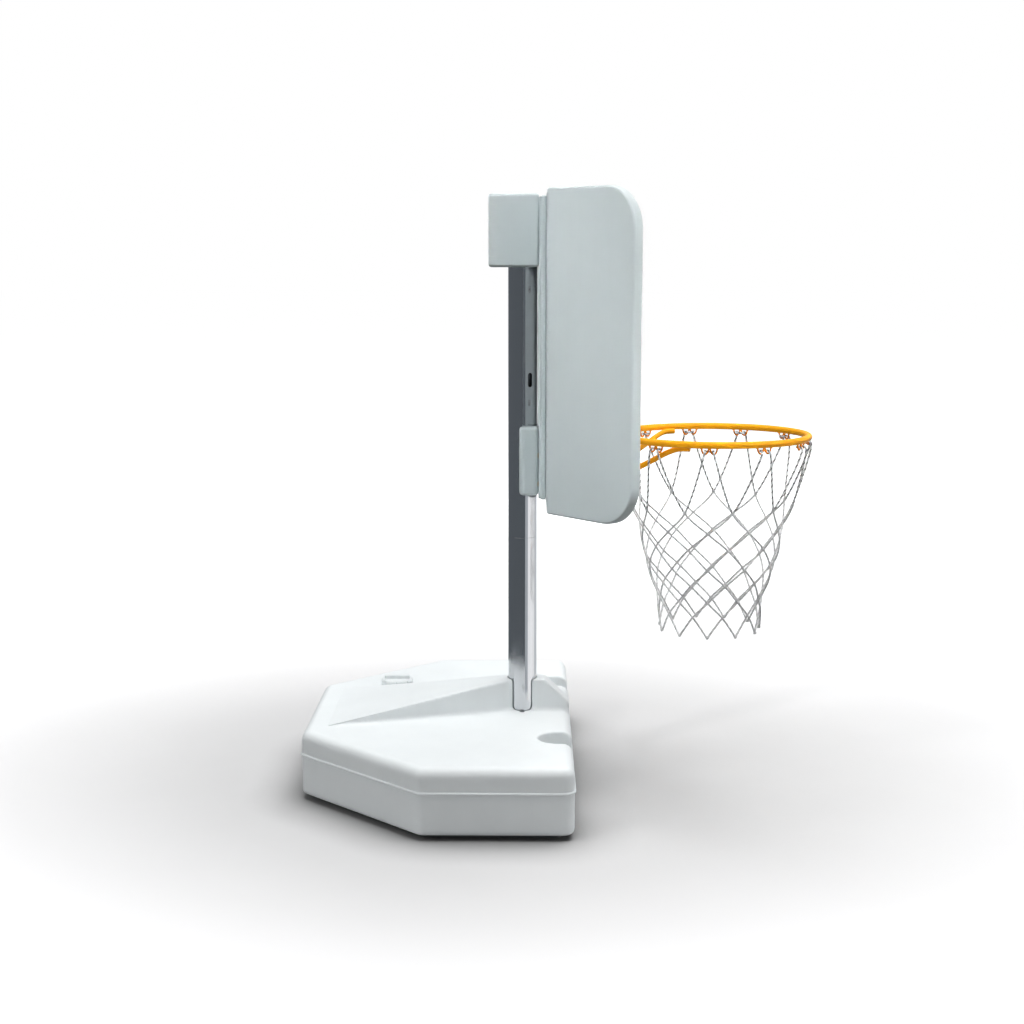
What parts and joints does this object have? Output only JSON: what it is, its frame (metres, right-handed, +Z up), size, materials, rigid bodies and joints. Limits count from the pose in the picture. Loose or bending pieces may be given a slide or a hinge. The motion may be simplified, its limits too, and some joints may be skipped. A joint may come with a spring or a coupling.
{
  "type": "pool basketball hoop",
  "caption": "Free-standing poolside basketball hoop with a hollow moulded base tank, a two-piece steel pole, a winged backboard and a braced rim with a net.",
  "frame": {"origin": "on the floor below the pole's axis, on the tank's flat underside", "axes": "+Z up along the pole, +X towards the rim and the player, Y across the backboard"},
  "size_m": [0.9007, 0.7332, 1.0338],
  "materials": {
    "tank_plastic": "white rotomoulded plastic, satin",
    "cap_plastic": "white moulded plastic, satin",
    "gasket_rubber": "black rubber",
    "stainless": "polished stainless tube",
    "plug_plastic": "black moulded plastic",
    "board_plastic": "pale grey moulded plastic, satin",
    "zinc": "zinc-plated steel",
    "brass_insert": "plain brass",
    "orange_coat": "orange powder coat, semi-gloss",
    "net_cord": "white twisted cord"
  },
  "bodies": {
    "base": {"base_tank": "tank_plastic", "fill_gasket": "gasket_rubber", "drain_gasket": "gasket_rubber"},
    "fill_cap": {"fill_cap": "cap_plastic"},
    "drain_plug": {"drain_plug": "cap_plastic"},
    "lower_pole": {"lower_pole": "stainless", "pole_foot_plug": "plug_plastic"},
    "upper_pole": {"upper_pole": "stainless", "pole_top_plug": "plug_plastic"},
    "board": {"backboard": "board_plastic", "back_rail": "board_plastic", "top_hood": "board_plastic", "lower_saddle": "board_plastic", "rail_screw_low_right": "zinc", "rail_screw_high_right": "zinc", "rail_screw_low_left": "zinc", "rail_screw_high_left": "zinc", "hood_right_bolt": "zinc", "hood_left_bolt": "zinc", "rim_low_right_bolt": "zinc", "rim_high_right_bolt": "zinc", "rim_low_left_bolt": "zinc", "rim_high_left_bolt": "zinc", "insert_rim_low_right": "brass_insert", "insert_rim_high_right": "brass_insert", "insert_rim_low_left": "brass_insert", "insert_rim_high_left": "brass_insert", "rim_bracket": "orange_coat", "rim": "orange_coat", "rim_brace_right": "orange_coat", "rim_brace_left": "orange_coat", "net": "net_cord"}
  },
  "joints": [
    {"name": "lower_pole_lift", "type": "slide", "parent": "base", "child": "lower_pole", "axis": [0, 0, 1], "range_m": [0, 0.16]},
    {"name": "upper_pole_lift", "type": "slide", "parent": "lower_pole", "child": "upper_pole", "axis": [0, 0, 1], "range_m": [0, 0.098]},
    {"name": "backboard_lift", "type": "slide", "parent": "upper_pole", "child": "board", "axis": [0, 0, 1], "range_m": [0, 0.102]},
    {"name": "fill_cap_turn", "type": "hinge", "parent": "base", "child": "fill_cap", "pos_m": [-0.24, 0.152, 0.125], "axis": [0, 0, 1], "continuous": true},
    {"name": "drain_plug_turn", "type": "hinge", "parent": "base", "child": "drain_plug", "pos_m": [-0.38, 0, 0.034], "axis": [-1, 0, 0], "continuous": true}
  ]
}
